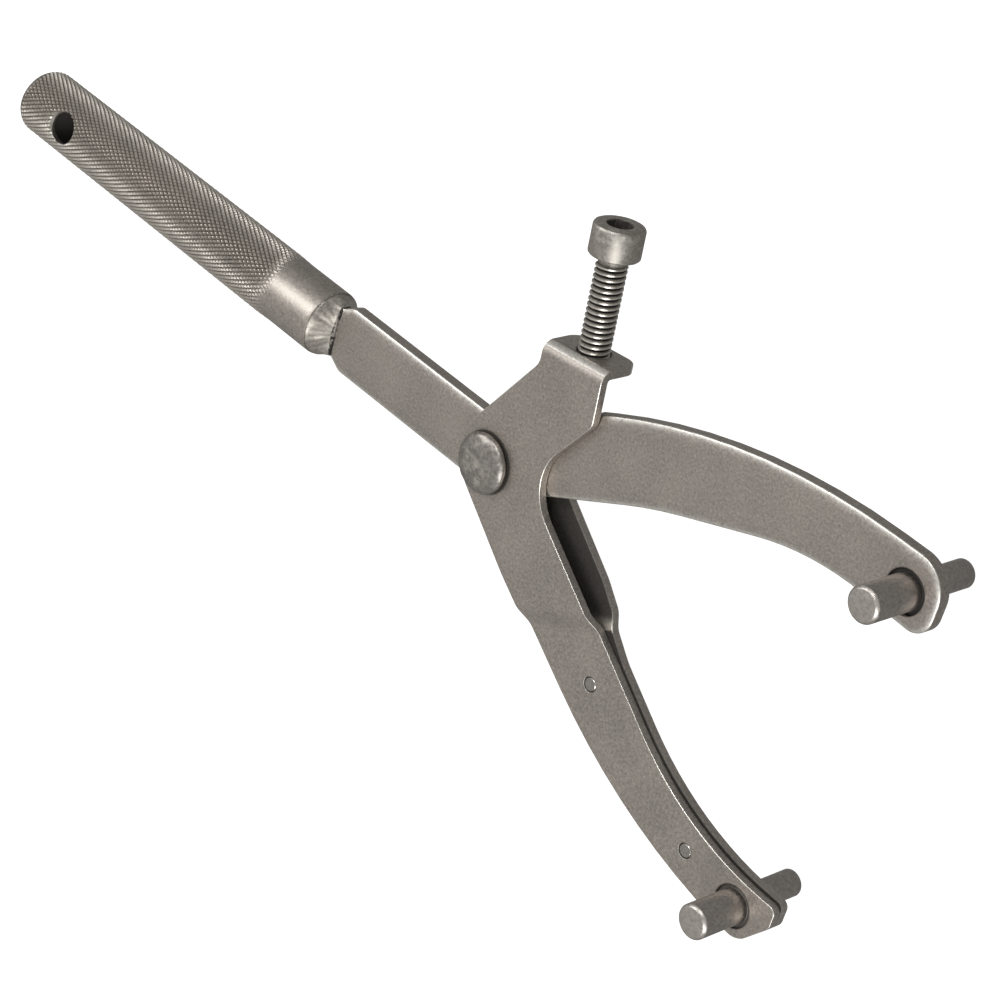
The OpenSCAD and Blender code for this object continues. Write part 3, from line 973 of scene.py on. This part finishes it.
# ------------------------------------------------------------------------------- screw
# The adjusting screw is a plated socket head cap screw, 8 mm by 40 mm, with a rolled
# thread. It turns in the tapped hole of the tab, and its tip rests on the bar.
thread_radius = 4.0 * MM
root_radius = 3.15 * MM
root_round = 0.08 * MM
pitch = 1.45 * MM
flank = 0.33 * pitch
screw_length = 40 * MM
head_height = 8 * MM
head_top = screw_length + head_height
cap_radius = 6.5 * MM
socket_depth = 4.2 * MM
socket_floor = head_top - socket_depth
socket_width = 6 * MM
corner = socket_width / 2 / math.cos(math.radians(30))
# The socket's mount lies in the middle of the socket's depth.
screw_tip = screw_place - screw_axis * (head_top - socket_depth / 2)

# A point is drawn out into the outline of one thread, which is wound round the screw.
bpy.ops.object.select_all(action="DESELECT")
bpy.ops.mesh.primitive_plane_add(size=MM)
screw = bpy.context.object
screw.name = "socket_head_screw"
with editing(screw, "VERT"):
    bpy.ops.mesh.merge(type="CENTER")
    bpy.ops.mesh.select_all(action="SELECT")
    bpy.ops.transform.translate(value=(thread_radius, 0, -1.5 * pitch))
    for out, rise in (
        (0, 0.14 * pitch),
        (root_radius + root_round - thread_radius, flank),
        (-root_round, 0.06 * pitch),
        (root_round, 0.06 * pitch),
        (thread_radius - root_radius - root_round, flank),
        (0, 0.08 * pitch),
    ):
        bpy.ops.mesh.extrude_vertices_move(TRANSFORM_OT_translate={"value": (out, 0, rise)})
thread = screw.modifiers.new("thread", "SCREW")
thread.axis = "Z"
thread.screw_offset = pitch
thread.iterations = int(screw_length / pitch) + 2
thread.steps = 48
thread.use_merge_vertices = True
thread.merge_threshold = 0.01 * MM
bpy.ops.object.modifier_apply(modifier=thread.name)
with editing(screw, "EDGE"):
    bpy.ops.mesh.remove_doubles(threshold=0.01 * MM)
    bpy.ops.mesh.fill_holes(sides=0)
    bpy.ops.mesh.select_all(action="SELECT")
    bpy.ops.mesh.normals_make_consistent(inside=False)

blank = turned("blank", Vector((0, 0, 0)), [
    (root_radius - 0.3 * MM, 0),
    (thread_radius + 0.2 * MM, 0.9 * MM),
    (thread_radius + 0.2 * MM, screw_length - 2.4 * MM),
    (root_radius, screw_length - 1.4 * MM),
])
combine(screw, blank, "INTERSECT")
head = turned("head", Vector((0, 0, 0)), [
    (root_radius - 0.2 * MM, screw_length - 3.0 * MM),
    (root_radius + 0.35 * MM, screw_length - 2.0 * MM),
    (thread_radius - 0.1 * MM, screw_length),
    (cap_radius - 0.35 * MM, screw_length),
    (cap_radius - 0.05 * MM, screw_length + 0.3 * MM),
    (cap_radius, screw_length + 0.6 * MM),
    (cap_radius, head_top - 0.9 * MM),
    (cap_radius - 0.08 * MM, head_top - 0.6 * MM),
    (cap_radius - 0.32 * MM, head_top - 0.25 * MM),
    (cap_radius - 0.75 * MM, head_top - 0.05 * MM),
    (cap_radius - 1.2 * MM, head_top),
], sides=96)
socket = turned("socket", Vector((0, 0, 0)), [
    (0.2 * MM, socket_floor - 1.0 * MM),
    (socket_width / 2, socket_floor),
    (corner, socket_floor),
    (corner, head_top + 1.0 * MM),
], sides=6)
lead_in = turned("lead_in", Vector((0, 0, 0)), [
    (socket_width / 2 - 0.2 * MM, head_top - 0.5 * MM),
    (corner + 0.55 * MM, head_top + 0.35 * MM),
])
combine(head, socket, "DIFFERENCE")
combine(head, lead_in, "DIFFERENCE")
combine(screw, head, "UNION")
screw.data.transform(screw_axis.to_track_quat("Z", "Y").to_matrix().to_4x4())
screw.data.transform(Matrix.Translation(screw_tip))


def on_thread(tree):
    """1 on the threaded part, 0 on the head."""
    along = vector_node(tree, "DOT_PRODUCT", place_on(tree), screw_axis)["Value"]
    head_start = screw_tip.dot(screw_axis) + screw_length
    return ramp(tree, along, head_start - MM, head_start, 1.0, 0.0)


def thread_highlight_and_rubbing(tree):
    """The crests of the thread get a painted highlight, and all of the screw is rubbed in patches."""
    radius = from_axis(tree, screw_place, screw_axis)
    crests = ramp(tree, radius, thread_radius - 0.25 * MM, thread_radius - 0.05 * MM)
    crests = math_node(tree, "MULTIPLY", crests, on_thread(tree))
    rubbed = ramp(tree, noise(tree, place_on(tree), 300, 4), 0.5, 0.7, 0.0, 0.5)
    return math_node(tree, "MAXIMUM", crests, rubbed)


def thread_shade(tree):
    """Painted shade lies in the grooves of the thread and inside the socket."""
    radius = from_axis(tree, screw_place, screw_axis)
    grooves = ramp(tree, radius, root_radius + 0.15 * MM, thread_radius - 0.2 * MM, 0.95, 0.0)
    grooves = math_node(tree, "MULTIPLY", grooves, on_thread(tree))
    in_socket = ramp(tree, radius, corner - 0.2 * MM, corner + 0.1 * MM, 0.7, 0.0)
    in_head = math_node(tree, "SUBTRACT", 1.0, on_thread(tree))
    in_socket = math_node(tree, "MULTIPLY", in_socket, in_head)
    return math_node(tree, "MAXIMUM", grooves, in_socket)


screw_steel = steel(
    "screw_steel", (0.45, 0.425, 0.385), (0.84, 0.81, 0.75), dark=(0.03, 0.028, 0.026),
    rough=0.47, grain=0.28, grain_scale=1300, mask=thread_highlight_and_rubbing, shade=thread_shade,
)
finish(screw, "screw", "screw_steel", screw_steel, "adjusting_screw", angle=28)
